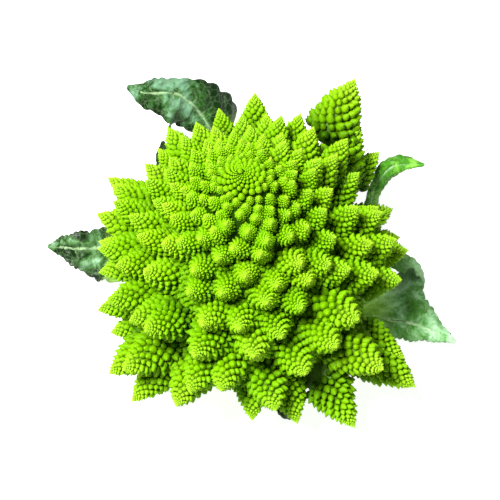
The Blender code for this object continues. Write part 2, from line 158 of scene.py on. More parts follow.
# Core under the florets, and the young buds on it
CORE_DEPTH = 1.02
NECK_WIDTH = 48 * MM
NECK_HEIGHT = 20 * MM
CORE_TOP_ANGLE = 0.001
CORE_RINGS = 48
UNDER_RINGS = 12
CORE_SIDES = 96
HOLLOW_BUDS = 3600
HOLLOW_BUD_WIDTH = 3.2 * MM
HOLLOW_BUD_DETAIL = (7, 7)
HOLLOW_BUD_START = math.radians(34)
HOLLOW_BUD_SIZES = (0.7, 1.25)
HOLLOW_BUD_RISES = (-0.1, 0.5)
HOLLOW_BUD_TILT = 0.25
# Young buds sit low on the curd's green ramp: painted shade of the hollows
HOLLOW_BUD_SHADE_TONE = 0.18
UNDER_BUDS = 600
UNDER_BUD_REACH = 0.5
UNDER_BUD_FACING = math.radians(120)
UNDER_BEND = 1.5
NECK_SHARE = 0.9

# Branches from the outer florets' feet to the stalk
BRANCH_POLAR = math.radians(78)
BRANCH_SIDES = 12
BRANCH_STEPS = 16
BRANCH_START = 0.9
BRANCH_REACH = 0.8
BRANCH_START_HALF = 0.34
BRANCH_END_WIDTH = 7.5 * MM
BRANCH_TAPER = 1.5
BRANCH_NECK = 0.36
BRANCH_SINK = 1 * MM
BRANCH_RISE = 0.9
BRANCH_PULL = 12 * MM

# Bud shapes by bud width: least width, grains, sides
BUD_DETAIL = (
    (3.3 * MM, 22, 9),
    (2.0 * MM, 11, 7),
    (1.1 * MM, 5, 6),
    (0, 0, 5),
)
GRAIN_START = 0.16
GRAIN_SPAN = 0.72
GRAIN_CROWDING = 0.7
GRAIN_RISE = 0.04
GRAIN_LIFT = 0.8
GRAIN_HOLLOW = 0.075
# Painted shade: grains darker further from the bud's tip, the pits and the bud's edge darker still
GRAIN_SHADE_DROP = 0.3
PIT_SHADE_TONE = 0.35
BUD_EDGE_SHADE_TONE = 0.2
PLAN_EDGE = 1.15
BUD_ROOT_HALF = 0.36
BUD_ROOT_DEPTH = 0.35
BUD_MIDDLE = np.array((0, 0, 0.1))
PIT_TARGET = np.array((0, 0, -0.1))

# Stalk outline from the neck down to the cut foot: height and half width in mm
STALK_OUTLINE = ((20, 22.5), (17, 21), (12, 19.5), (6, 19.5), (1.2, 20), (0, 18.8))
STALK_SIDES = 120
STALK_ROWS = 40
STALK_RIDGES = ((7, 0.35, 0.4), (17, 0.2, 0))
STALK_INSET = 0.4
SWELLS = 5
SWELL_HEIGHT = 0.5
SWELL_LEVEL = 12
SWELL_SPREAD = 3
SWELL_TURN = 1
CUT_HALF = 18.6 * MM
CUT_BEVEL = 0.5 * MM
CUT_SHARES = (1.0, 0.97, 0.85, 0.7, 0.5, 0.3, 0.1)
STALK_GAP = 0.4 * MM
FOOT_CLEARANCE = 0.5 * MM

# Leaves: blade and rib thickness, how the edge waves and is cut, and the veins
BLADE_THICKNESS = 0.8 * MM
RIB_THICKNESS = 4.0 * MM
RIB_TIP_THICKNESS = 1.0 * MM
RIB_HALF_WIDTH = 4.0 * MM
RIB_ROUNDNESS = 0.8
RIB_MARK_SHARE = 0.30
RIB_MARK_END = 1.15
TIP_HALF_WIDTH = 0.6 * MM
BLADE_ROWS = 150
BLADE_COLUMNS = 49
COLUMN_CROWDING = 1.15
SPINE_STEP = 0.01
CUP_SHARE = 0.12
FOLD_SHARE = 0.55
EDGE_WAVES = 3.5
EDGE_WAVE_SHARE = 0.13
EDGE_WAVE_WIDEST = 14 * MM
EDGE_WAVE_POWER = 1.5
EDGE_WAVE_RISE = 3
RUFFLES = 31
RUFFLE_SHARE = 0.25
EDGE_NOTCHES = 5.25
EDGE_NOTCH_SHARE = 0.16
EDGE_OFFSET = 0.2
TOOTH_COUNT = 17
TOOTH_SHARE = 0.10
TOOTH_OFFSET = 0.37
TOOTH_WOBBLE = 0.6
TOOTH_WOBBLES = 9
VEINS_PER_LENGTH = 95
VEIN_SLANT = 0.75
VEIN_OFFSET = 0.5
VEIN_FADE = 0.55
VEIN_LEAST_HALF = 2.5 * MM
VEIN_THICKNESS = 0.3 * MM
VEIN_WANDER = 0.22
WANDER_ACROSS = 7
WANDER_ALONG = 11
VEIN_SHOWING = 0.42
RIB_SHOWING = 0.85
VEIN_WIDTH = 0.55 * MM
VEIN_DEPTH = 0.45 * MM
BULGE_HEIGHT = 0.8 * MM
BULGE_LEAST_HALF = 5 * MM

# These leaves reach further from their roots than the solid's, as in the photo
LEAF_SPREAD = {"leaf_left": 1.07, "leaf_back_left": 1.07}

# The curd's greens from a floret's foot to its tip, darker towards the foot as painted shade of the hollows,
# and the painted shade that darkens its pits and lifts its tips
CURD_GREENS_WITH_FOOT_SHADE = (
    (0, (0.030, 0.100, 0.0005)), (0.18, (0.112, 0.285, 0.0008)),
    (0.60, (0.178, 0.405, 0.0015)), (1, (0.300, 0.530, 0.020)),
)
CURD_PIT_SHADE = (0.35, 1.12)
CURD_BUMPS = {"Scale": 1500}

# The curd's green varies in patches and from floret to floret between these shares of its own colour
CURD_COOL = (0.86, 0.97, 0.8)
CURD_WARM = (1.14, 1.03, 1.2)
CURD_PATCHES = {"Scale": 38, "Detail": 3}
CURD_OWN_SHADE = (-0.25, 0.25)

# Leaf surface: where the bloom lies, the net of fine veins, the shading to the rim and the stem's part
BLOOM_PATCHES = {"Scale": 70, "Detail": 7, "Roughness": 0.66, "Distortion": 0.6}
BLOOM_RANGE = (0.45, 0.62)
GREEN_STOP = 0.42
NET_CELLS = {"Scale": 290}
NET_WARP = {"Scale": 150, "Detail": 2}
NET_DRIFT = (0.004, 0.004, 0.004)
NET_LINE = (0, 0.09)
NET_SHOWING = (0.12, 0)
RIM_RANGE = (0.45, 1)
RIM_SHADES = (1.08, 0.62)
STEM_RANGE = (0.24, 0.46)
STEM_SHOWING = (0.85, 0)
LEAF_PUCKERS = {"Scale": 260, "Detail": 4}

# Flesh of the branches and the stalk: its two greens, how its fibres stretch, and how it is shaded
BRANCH_GREENS = ((0.12, 0.26, 0.03), (0.29, 0.37, 0.13))
BRANCH_STRETCH = 0.6
STALK_GREENS = ((0.36, 0.40, 0.22), (0.28, 0.38, 0.13))
STALK_STRETCH = 0.15
FLESH_FIBRES = {"Scale": 420, "Detail": 6, "Roughness": 0.6}
FLESH_PATCHES = {"Scale": 60, "Detail": 4}
FLESH_RANGE = (0.7, 1.3)
FLESH_SHADES = (0.72, 1.18)

# Leaf colours: the veins' green and the stem's yellower green, made brighter as painted light against its
# shade, then each leaf's deep green, leaf green and waxy bloom, one leaf's made paler as painted light
VEIN_GREEN = (0.34, 0.50, 0.26)
STEM_GREEN_AND_PAINTED_LIGHT = (0.34, 0.62, 0.08)
LEAF_GREENS = {
    "leaf_back_left": ((0.003, 0.020, 0.002), (0.026, 0.095, 0.014), (0.140, 0.290, 0.170)),
    "leaf_back_left_small": ((0.006, 0.024, 0.003), (0.035, 0.095, 0.020), (0.100, 0.200, 0.120)),
    "leaf_left": ((0.004, 0.020, 0.002), (0.046, 0.125, 0.030), (0.200, 0.370, 0.210)),
    "leaf_upper_right": ((0.040, 0.180, 0.006), (0.125, 0.340, 0.022), (0.240, 0.450, 0.120)),
    "leaf_right": ((0.034, 0.140, 0.010), (0.120, 0.290, 0.100), (0.290, 0.480, 0.290)),
    # Painted light: this leaf's greens are made paler to offset the shade the head casts on it
    "leaf_right_under": ((0.150, 0.340, 0.090), (0.290, 0.510, 0.260), (0.420, 0.620, 0.420)),
    "leaf_front_small": ((0.010, 0.036, 0.003), (0.040, 0.095, 0.016), (0.070, 0.150, 0.045)),
}

# The floor that bends up far behind the head
FLOOR_REACH = 5.0
FLOOR_BEND = 1.6
FLOOR_BENDS = 12
FLOOR_SIDES = 96
FLOOR_GREY = (0.6, 0.6, 0.6, 1)
FLOOR_ROUGHNESS = 0.8
FLOOR_GLOW = 0.84

# Camera and light: the photo's side in pixels, the sensor in mm, distances in metres and power in watts
PICTURE_SIDE = 500
SENSOR_WIDTH = 36
CAMERA_DISTANCE = 0.72
KEY_PLACE = (-0.36, -0.14, 1.10)
KEY_POWER = 36
KEY_SIZE = 0.34
SKY_STRENGTH = 0.2
WHITE = (1, 1, 1, 1)

# Each leaf: its foot's azimuth and height, the way it faces, and rib points with both half widths, in mm
FACING_UP = (0, -0.47, 0.88)
FACING_HEAD = (0.3, -0.6, 0.7)
LEAVES = {
    "leaf_back_left": {
        "foot": (105, 10), "faces": FACING_HEAD,
        "rib": ((-12, 48, -47, 4, 4), (-18, 74, -36, 8, 6), (-25, 85, -20, 19, 10),
                (-36, 87, -4, 9, 17), (-49, 83, 3, 7, 8.5), (-59, 83, 8, 0.8, 0.8)),
    },
    "leaf_back_left_small": {
        "foot": (132, 14), "faces": FACING_HEAD,
        "rib": ((-27, 36, -43, 3.2, 3.2), (-38, 56, -38, 5, 5), (-45, 68, -26, 6, 6),
                (-46, 71, -12, 0.8, 0.8)),
    },
    "leaf_left": {
        "foot": (165, 12), "faces": FACING_UP,
        "rib": ((-45, 14, -47, 4, 4), (-68, 24, -43, 10, 17), (-82, 21.5, -37, 9, 12),
                (-91, 20, -33, 6, 4.5), (-97, 19, -30, 0.8, 0.8)),
    },
    "leaf_upper_right": {
        "foot": (35, 12), "faces": FACING_UP,
        "rib": ((36, 26, -46, 3.5, 3.5), (56, 40, -40, 3.5, 3.5), (61, 49, -19, 4, 3),
                (69, 50, -2, 4.5, 6), (82, 44, 10, 0.8, 0.8)),
    },
    "leaf_right": {
        "foot": (-14, 13), "faces": FACING_UP,
        "rib": ((44, -8, -47, 4, 4), (62, -10, -48, 6, 22), (74, -13, -46, 10, 27),
                (83, -17, -44, 8, 13), (92, -22, -43, 4, 5), (99, -26, -42, 0.8, 0.8)),
    },
    "leaf_right_under": {
        "foot": (14, 8), "faces": FACING_UP,
        "rib": ((42, 20, -52, 3.5, 3.5), (64, 26, -50, 4, 5), (80, 14, -46, 4, 6),
                (83, 3, -51, 0.8, 0.8)),
    },
    "leaf_front_small": {
        "foot": (-72, 12), "faces": FACING_UP,
        "rib": ((12, -42, -48, 3, 3), (16, -60, -46, 5, 5), (19, -64, -34, 0.8, 0.8)),
    },
}


def unit(vectors):
    return vectors / np.linalg.norm(vectors, axis=-1, keepdims=True)


def direction(azimuth, polar):
    flat = math.sin(polar)
    return np.array((flat * math.cos(azimuth), flat * math.sin(azimuth), math.cos(polar)))


def angle_between(way, other):
    return math.acos(max(-1.0, min(1.0, float(way @ other))))


def reach_share(way):
    """How far the head reaches along a direction, as a share of its plain dome."""
    share = 1.0
    for azimuth, polar, amount, spread in REACH_SIDES:
        side = direction(math.radians(azimuth), math.radians(polar))
        share += amount * math.exp(-((math.degrees(angle_between(way, side)) / spread) ** 2))
    return share


def dome_radius(polar):
    return DOME_REACH * np.interp(np.degrees(polar), DOME_ANGLES, DOME_SHARES)


def upward(way):
    """Axis of a floret, which grows outward and leans up."""
    angle = np.interp(math.degrees(math.acos(way[2])), DOME_ANGLES, AXIS_ANGLES)
    return direction(math.atan2(way[1], way[0]), math.radians(angle))


def uneven(way, radius, width, chance):
    """One floret as (direction, reach, width, axis), set off a little from its even place."""
    shake = np.array([max(-MOST_SPREAD, min(MOST_SPREAD, chance.gauss(0, 1))) for _ in range(SHAKE_VALUES)])
    size = width / FLORET_WIDTH
    way = unit(way + shake[:3] * (PLACE_SPREAD * size * width / radius))
    share = reach_share(way)
    reach = dome_radius(math.acos(way[2])) * share * (1 + REACH_SPREAD * size * shake[3])
    axis = unit(upward(way) + shake[4:7] * TILT_SPREAD * size)
    return way, reach, width * share * (1 + SIZE_SPREAD * size * shake[7]), axis


def floret_layout():
    """Florets from the rim up to the apex, as (direction, reach, width, axis)."""
    chance = random.Random(SEED)
    angles = np.linspace(0, DOME_END_ANGLE, ARC_STEPS + 1)
    radii = dome_radius(angles)
    steps = np.hypot(np.diff(radii * np.sin(angles)), np.diff(radii * np.cos(angles)))
    arcs = np.concatenate([[0], np.cumsum(steps)])
    florets = []
    arc = arcs[-1]
    step = ARC_STEPS
    while arc > 0:
        while step > 0 and arcs[step - 1] > arc:
            step -= 1
        width = FLORET_WIDTH * math.tanh(WIDTH_PER_ARC * arc / FLORET_WIDTH)
        if width < FLORET_SMALLEST:
            break
        way = direction(SPIRAL_START + SPIRAL_HAND * len(florets) * GOLDEN_ANGLE, angles[step])
        florets.append(uneven(way, radii[step], width, chance))
        arc -= FLORET_ROOM * width * width / (2 * math.pi * radii[step] * math.sin(angles[step]))
    return florets


def sight_points(across, down):
    """Points along the line of sight through a pixel, from the nearest on, before the apex leans."""
    aside = (across - VIEW_MIDDLE[0]) / PIXELS_PER_METRE
    rise = (VIEW_MIDDLE[1] - down) / PIXELS_PER_METRE
    sine = math.sin(VIEW_ELEVATION)
    cosine = math.cos(VIEW_ELEVATION)
    points = []
    for step in range(SIGHT_STEPS):
        near = SIGHT_START - step * SIGHT_STEP
        point = np.array((aside, sine * rise - cosine * near, cosine * rise + sine * near))
        points.append(point - APEX_SHIFT * max(0.0, point[2] / DOME_REACH))
    return points


def dome_share(point):
    """How far out a point is, as a share of the head's reach along its direction."""
    way = unit(point)
    return np.linalg.norm(point) / (dome_radius(math.acos(way[2])) * reach_share(way))


def standing_tips():
    """Tips and widths of the florets that stand out: where the line of sight passes the dome for
    those on the outline, and where it meets the dome for the others."""
    tips = []
    for across, down, width in OUTLINE_TIPS:
        points = [p for p in sight_points(across, down) if unit(p)[2] > math.cos(LOWEST_TIP)]
        tips.append((min(points, key=dome_share), width * MM))
    for across, down, width in FACING_TIPS:
        points = sight_points(across, down)
        tips.append((next(p for p in points if dome_share(p) < FACING_SHARE), width * MM))
    return tips


def with_standing(florets):
    """The florets with those that stand out in their own places, and none hidden under them."""
    standing = {}
    for tip, width in standing_tips():
        way = unit(tip)
        free = [n for n, f in enumerate(florets) if n not in standing and f[2] > STANDING_LEAST]
        nearest = min(free, key=lambda n: angle_between(florets[n][0], way))
        standing[nearest] = (way, np.linalg.norm(tip), width, upward(way))
    kept = []
    for number, floret in enumerate(florets):
        tip = floret[0] * floret[1]
        apart = [np.linalg.norm(tip - f[0] * f[1]) > STANDING_CLEAR * f[2] for f in standing.values()]
        if number in standing or all(apart):
            kept.append(standing.get(number, floret))
    return kept


def net(plan):
    return delaunay_2d_cdt([Vector(p) for p in plan], [], [], 0, 1e-9)[2]


def ring(turn, half, height):
    return np.array((half * math.cos(turn), half * math.sin(turn), height))


def bud_shape(grains, sides):
    """One bud of width 1, its root at z 0: points, triangles, and each point's tone of painted shade:
    lightest at the tip, darker down the grains, dark in the pits and at the edge, darkest at the root.
    """
    points = [np.array((0, 0, BUD_HEIGHT))]
    plan = [(0.0, 0.0)]
    tones = [1.0]
    for number in range(grains):
        share = GRAIN_START + GRAIN_SPAN * (number / max(grains - 1, 1)) ** GRAIN_CROWDING
        turn = number * GOLDEN_ANGLE
        out = BUD_FOOT * share ** BUD_BLUNTNESS
        rise = BUD_HEIGHT * (1 - share)
        points.append(ring(turn, out + GRAIN_RISE, rise + GRAIN_RISE * GRAIN_LIFT))
        plan.append((share * math.cos(turn), share * math.sin(turn)))
        tones.append(1.0 - GRAIN_SHADE_DROP * share)
    edge = len(points)
    for number in range(sides):
        turn = 2 * math.pi * number / sides
        points.append(ring(turn, BUD_FOOT, 0.0))
        plan.append((PLAN_EDGE * math.cos(turn), PLAN_EDGE * math.sin(turn)))
        tones.append(BUD_EDGE_SHADE_TONE)
    triangles = []
    for corners in net(plan):
        if max(corners) >= edge:
            triangles.append(list(corners))
            continue
        middle = sum(points[c] for c in corners) / 3
        for i in range(3):
            triangles.append([corners[i], corners[(i + 1) % 3], len(points)])
        points.append(middle - unit(middle - PIT_TARGET) * GRAIN_HOLLOW)
        tones.append(PIT_SHADE_TONE)
    root = len(points)
    for number in range(sides):
        points.append(ring(2 * math.pi * number / sides, BUD_ROOT_HALF, -BUD_ROOT_DEPTH))
        tones.append(0.0)
        after = (number + 1) % sides
        triangles.append([edge + number, root + number, edge + after])
        triangles.append([edge + after, root + number, root + after])
    points = np.array(points)
    triangles = np.array(triangles)
    return points, facing_out(points, triangles), np.array(tones)


def facing_out(points, triangles):
    """The triangles with their corners in order, so that each faces away from the shape's middle."""
    corners = points[triangles]
    normals = np.cross(corners[:, 1] - corners[:, 0], corners[:, 2] - corners[:, 0])
    inward = (normals * (corners.mean(axis=1) - BUD_MIDDLE)).sum(axis=1) < 0
    triangles[inward] = triangles[inward][:, ::-1]
    return triangles


def floret_out(share):
    """Half width of a floret of width 1, at a share of its height below the tip."""
    turn_in = FOOT_TURN_IN * np.clip((share - FOOT_TURN_START) / (1 - FOOT_TURN_START), 0, 1) ** 2
    return FLORET_FOOT * share ** FLORET_BLUNTNESS * (1 - turn_in)


def bud_layout(size):
    """Buds on a floret of width 1, from the foot up to the tip: out, drop, slope, width, share."""
    shares = np.linspace(0, 1, OUTLINE_STEPS + 1)
    outs = floret_out(shares)
    drops = FLORET_HEIGHT * shares
    arcs = np.concatenate([[0], np.cumsum(np.hypot(np.diff(outs), np.diff(drops)))])
    slopes = np.arctan2(np.gradient(drops, arcs), np.gradient(outs, arcs))
    widest = BUD_SHARE + BUD_SHARE_SMALL * (1 - size) ** 2
    table = list(zip(arcs, outs, drops, slopes))
    rows = []
    arc = arcs[-1]
    at = len(table) - 1
    while arc > 0:
        while at > 0 and table[at - 1][0] > arc:
            at -= 1
        out, drop, slope = table[at][1:]
        width = widest * math.tanh(BUD_PER_ARC * arc / widest)
        if width < BUD_LAST_WIDTH:
            break
        rows.append((out, drop, slope, width, drop / FLORET_HEIGHT))
        arc -= BUD_ROOM * width * width / (2 * math.pi * max(out, BUD_LEAST_TURN))
    return np.array(rows)


def frame_at(ways, turns):
    """Side, other side and axis of each direction, turned about it."""
    side = unit(np.cross(ways, np.where(np.abs(ways[:, 2:]) < UPRIGHT, (0, 0, 1), (1, 0, 0))))
    other = np.cross(ways, side)
    cos = np.cos(turns)[:, None]
    sin = np.sin(turns)[:, None]
    return np.stack([side * cos + other * sin, other * cos - side * sin, ways], axis=-1)


def in_head(points):
    lean = APEX_SHIFT * np.maximum(0, points[..., 2:] / DOME_REACH)
    return points + lean + (0, 0, DOME_HEIGHT)


def all_buds(frames, tips, width, rng):
    """Every bud of every floret: place, axis, width, share below the tip, and the floret's number."""
    found = []
    for turned, tip, wide in zip(frames, tips, width):
        axis = turned[:, 2]
        if wide < SINGLE_BUD_WIDTH:
            place = tip - axis * SINGLE_BUD_DEPTH * wide
            found.append(([place], [axis], [SINGLE_BUD_SIZE * wide], [SINGLE_BUD_SHARE]))
            continue
        rows = bud_layout(min(wide / FLORET_WIDTH, 1))
        rows = rows[rows[:, 3] * wide >= BUD_SMALLEST]
        turn = np.arange(len(rows)) * GOLDEN_ANGLE
        out, drop, slope, bud, share = rows.T
        local = np.stack([out * np.cos(turn), out * np.sin(turn), -drop], axis=-1)
        lean = math.pi / 2 - slope + BUD_LEAN
        flat = np.cos(lean)
        tilt = np.stack([flat * np.cos(turn), flat * np.sin(turn), np.sin(lean)], axis=-1)
        tilt = unit(tilt + rng.normal(0, BUD_TILT_SPREAD, tilt.shape))
        tip_bud = max(TIP_BUD_SHARE * bud[-1], TIP_BUD_COVER * out[-1])
        bud = bud * rng.uniform(*BUD_SIZES, len(rows))
        places = np.vstack([tip + (local * wide) @ turned.T, tip - axis * drop[-1] * wide])
        axes = np.vstack([tilt @ turned.T, axis])
        found.append((places, axes, np.append(bud, tip_bud) * wide, np.append(share, 0)))
    owners = np.repeat(np.arange(len(found)), [len(buds[2]) for buds in found])
    places, axes, widths, shares = (np.concatenate(column) for column in zip(*found))
    return places, unit(axes), widths, shares, owners


def hidden(places, widths, owners, frames, tips, width):
    """Buds that lie deep inside another floret."""
    gone = np.zeros(len(places), bool)
    for number in np.flatnonzero(width >= SINGLE_BUD_WIDTH):
        away = np.linalg.norm(places - tips[number], axis=1)
        near = (owners != number) & (away < NEAR_SHARE * width[number])
        local = (places[near] - tips[number]) @ frames[number]
        share = np.clip(-local[:, 2] / (FLORET_HEIGHT * width[number]), 0, 1)
        out = floret_out(share) * width[number] - HIDDEN_DEPTH * widths[near]
        inside = np.hypot(local[:, 0], local[:, 1]) < out
        within = (local[:, 2] < 0) & (local[:, 2] > -FOOT_SHARE * width[number])
        gone[np.flatnonzero(near)[inside & within]] = True
    return gone


def add_object(name, data):
    item = bpy.data.objects.new(name, data)
    bpy.context.scene.collection.objects.link(item)
    return item


def add_mesh(name, points, triangles, tones, surface, nodes):
    mesh = bpy.data.meshes.new(name)
    mesh.vertices.add(len(points))
    mesh.vertices.foreach_set("co", points.astype(np.float32).ravel())
    mesh.loops.add(3 * len(triangles))
    mesh.loops.foreach_set("vertex_index", triangles.astype(np.int32).ravel())
    mesh.polygons.add(len(triangles))
    mesh.polygons.foreach_set("loop_start", np.arange(0, 3 * len(triangles), 3, dtype=np.int32))
    mesh.polygons.foreach_set("use_smooth", np.ones(len(triangles), bool))
    mesh.update(calc_edges=True)
    colours = mesh.color_attributes.new("tone", "FLOAT_COLOR", "POINT")
    colours.data.foreach_set("color", tones.astype(np.float32).ravel())
    mesh.materials.append(surface)
    item = add_object(name, mesh)
    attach(item, "root")
    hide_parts(*nodes)


def stamp(shape, places, frames, widths):
    """Copies of a shape, each moved, turned and sized: points and triangles."""
    points, triangles = shape[:2]
    copies = np.einsum("nij,pj->npi", frames, points) * widths[:, None, None] + places[:, None]
    offset = np.arange(len(places))[:, None, None] * len(points)
    return copies.reshape(-1, 3), (triangles[None] + offset).reshape(-1, 3)


def set_unevenly(way, tips, axes, width, rng):
    """Tips, axes and widths of the florets, the small ones set off a little from their even places."""
    small = np.interp(width / UNEVEN_WIDTH, UNEVEN_SIZES, UNEVEN_SHARES)
    chance = np.clip(rng.normal(0, 1, (len(way), SHAKE_VALUES)), -MOST_SPREAD, MOST_SPREAD)
    chance = chance * small[:, None]
    tips = tips + UNEVEN_PLACE * width[:, None] * chance[:, 0:3]
    tips = tips + way * (UNEVEN_RISE * width * np.abs(chance[:, 3]))[:, None]
    axes = unit(axes + UNEVEN_TILT * chance[:, 4:7])
    return tips, axes, width * (1 + UNEVEN_SIZE * chance[:, 7])


def joined(parts):
    """Parts, each of points, triangles and tones, as one."""
    starts = np.cumsum([0] + [len(points) for points, faces, tones in parts])
    faces = np.concatenate([part[1] + start for part, start in zip(parts, starts)])
    return np.concatenate([part[0] for part in parts]), faces, np.concatenate([part[2] for part in parts])


def bud_tones(shape, shares, widths, shades):
    """Tones of a bud's copies: painted shade by their height on the floret and in their pits, and the
    floret's own random tint.
    """
    tone = np.ones((len(shares), len(shape[0]), 4))
    strength = np.clip(widths / PIT_SHADE_FULL_WIDTH, PIT_SHADE_LEAST, 1)[:, None]
    # Painted shade: the green darkens with the share below the floret's tip
    tone[..., 0] = 1 - shares[:, None]
    tone[..., 1] = 1 - strength * (1 - shape[2][None])
    tone[..., 2] = shades[:, None]
    return tone.reshape(-1, 4)


def build_florets(surface):
    """The florets as cones of buds: a piece for each sector of the head, and one for the small florets."""
    rng = np.random.default_rng(SEED)
    florets = with_standing(floret_layout())
    top = direction(0, 0)
    florets.append((top, dome_radius(0) + APEX_RISE, APEX_WIDTH, top))
    way = np.array([f[0] for f in florets])
    tips = way * np.array([f[1] for f in florets])[:, None]
    width = np.array([f[2] for f in florets])
    axes = np.array([f[3] for f in florets])
    tips, axes, width = set_unevenly(way, tips, axes, width, rng)
    frames = frame_at(axes, np.arange(len(florets)) * GOLDEN_ANGLE)
    places, axes, widths, shares, owners = all_buds(frames, tips, width, rng)
    kept = ~hidden(places, widths, owners, frames, tips, width)
    own_shade = rng.uniform(0, 1, len(way))
    bud_frames = frame_at(axes, rng.uniform(0, 2 * math.pi, len(places)))
    bud_frames[:, :, 2] *= rng.uniform(*BUD_STRETCH, len(way))[owners][:, None]
    turns = np.arctan2(way[:, 1], way[:, 0]) / (2 * math.pi) % 1
    group_of = np.floor(turns * SECTORS).astype(int)
    group_of[width < SMALL_FLORET] = SECTORS
    for group in range(SECTORS + 1):
        parts = []
        most = np.inf
        for least, grains, sides in BUD_DETAIL:
            chosen = kept & (group_of[owners] == group) & (widths >= least) & (widths < most)
            most = least
            if not chosen.any():
                continue
            shape = bud_shape(grains, sides)
            points, faces = stamp(shape, places[chosen], bud_frames[chosen], widths[chosen])
            tones = bud_tones(shape, shares[chosen], widths[chosen], own_shade[owners[chosen]])
            parts.append((points, faces, tones))
        large = np.flatnonzero((group_of == group) & (width >= SINGLE_BUD_WIDTH))
        parts.append(floret_cores(large, frames, tips, width, own_shade))
        points, faces, tones = joined(parts)
        add_mesh("florets_%d" % group, in_head(points), faces, tones, surface, ["curd"])
    return frames, tips, width


def quads(first, second, third, fourth):
    """Two triangles for each four corners, split from the first to the third."""
    return np.concatenate([np.stack([first, second, third], -1), np.stack([first, third, fourth], -1)])


def lathe_faces(rows, sides):
    """Triangles between rows of points that go round, each row of the same number."""
    row, side = np.meshgrid(np.arange(rows - 1) * sides, np.arange(sides), indexing="ij")
    near = (row + side).ravel()
    after = (row + (side + 1) % sides).ravel()
    return quads(after, near, near + sides, after + sides)


def fan(first, sides, point):
    """Triangles between a row of points that goes round, numbered from first on, and one point."""
    around = np.arange(sides)
    return np.stack([first + around, np.full(sides, point), first + (around + 1) % sides], axis=-1)


def floret_cores(numbers, frames, tips, width, own_shade):
    """The smooth cone under each floret's buds, closed below, painted dark as shade and darker to its foot.
    """
    points = [np.zeros(3)]
    tone = [1.0]
    for share in CONE_SHARES:
        half = floret_out(min(share, 1)) * (CONE_FILL if share <= 1 else CONE_ROOT_FILL)
        for number in range(CONE_SIDES):
            points.append(ring(2 * math.pi * number / CONE_SIDES, half, -FLORET_HEIGHT * share))
            tone.append(1 - min(share, 1))
    root = fan(1 + (len(CONE_SHARES) - 1) * CONE_SIDES, CONE_SIDES, len(points))
    points.append(np.array((0, 0, -FLORET_HEIGHT * CONE_SHARES[-1])))
    tone.append(0.0)
    tip = fan(1, CONE_SIDES, 0)[:, ::-1]
    triangles = np.concatenate([tip, lathe_faces(len(CONE_SHARES), CONE_SIDES) + 1, root])
    shape = (np.array(points), triangles)
    placed, faces = stamp(shape, tips[numbers], frames[numbers], width[numbers])
    tones = np.ones((len(numbers), len(points), 4))
    tones[..., 0] = tone
    # Painted shade: the cone takes nearly the full pit darkening
    tones[..., 1] = CONE_SHADE_TONE
    tones[..., 2] = own_shade[numbers][:, None]
    return placed, faces, tones.reshape(-1, 4)


def core_reach(way):
    """Reach of the ground between the florets along a direction."""
    polar = math.acos(max(-1, min(1, way[2])))
    radius = dome_radius(polar)
    width = FLORET_WIDTH * math.tanh(WIDTH_PER_ARC * polar * radius / FLORET_WIDTH)
    return reach_share(way) * (radius - CORE_DEPTH * width)


def under_core(turn, step):
    """A point of the core's underside, from the dome's end at step 0 to the neck at step 1."""
    way = direction(turn, DOME_END_ANGLE)
    last = way * core_reach(way)
    neck = ring(turn, NECK_SHARE * NECK_WIDTH / 2, NECK_HEIGHT - DOME_HEIGHT)
    bent = last * (1 - step) ** UNDER_BEND + neck * (1 - (1 - step) ** UNDER_BEND)
    bent[2] = last[2] * (1 - step) + neck[2] * step
    return bent


def build_hollow_buds(frames, tips, width, surface):
    """Young buds on the ground of the hollows, wherever no floret stands, painted darker as the hollows'
    shade.
    """
    rng = np.random.default_rng(SEED + 2)
    lowest = math.cos(DOME_END_ANGLE)
    heights = 1 - (1 - lowest) * (np.arange(HOLLOW_BUDS) + 0.5) / HOLLOW_BUDS
    ways = [direction(n * GOLDEN_ANGLE, math.acos(h)) for n, h in enumerate(heights)]
    places = [w * core_reach(w) for w in ways]
    for n in range(UNDER_BUDS):
        places.append(under_core(n * GOLDEN_ANGLE, UNDER_BUD_REACH * (n + 0.5) / UNDER_BUDS))
        ways.append(direction(n * GOLDEN_ANGLE, UNDER_BUD_FACING))
    ways = np.array(ways)
    places = np.array(places)
    count = len(ways)
    widths = HOLLOW_BUD_WIDTH * rng.uniform(*HOLLOW_BUD_SIZES, count)
    places = places + ways * (widths * rng.uniform(*HOLLOW_BUD_RISES, count))[:, None]
    no_owner = np.full(count, -1)
    kept = ~hidden(places, widths, no_owner, frames, tips, width)
    kept &= ways[:, 2] < math.cos(HOLLOW_BUD_START)
    shape = bud_shape(*HOLLOW_BUD_DETAIL)
    leaning = unit(ways + rng.normal(0, HOLLOW_BUD_TILT, (count, 3)))
    turned = frame_at(leaning, rng.uniform(0, FREE_TURN, count))
    points, faces = stamp(shape, places[kept], turned[kept], widths[kept])
    tone = np.ones((int(kept.sum()), len(shape[0]), 4))
    # Painted shade: a low share on the green ramp and the full pit darkening
    tone[..., 0] = HOLLOW_BUD_SHADE_TONE
    tone[..., 1] = shape[2][None]
    tone[..., 2] = rng.uniform(0, 1, (len(tone), 1))
    add_mesh("curd_hollow_buds", in_head(points), faces, tone.reshape(-1, 4), surface, ["curd"])


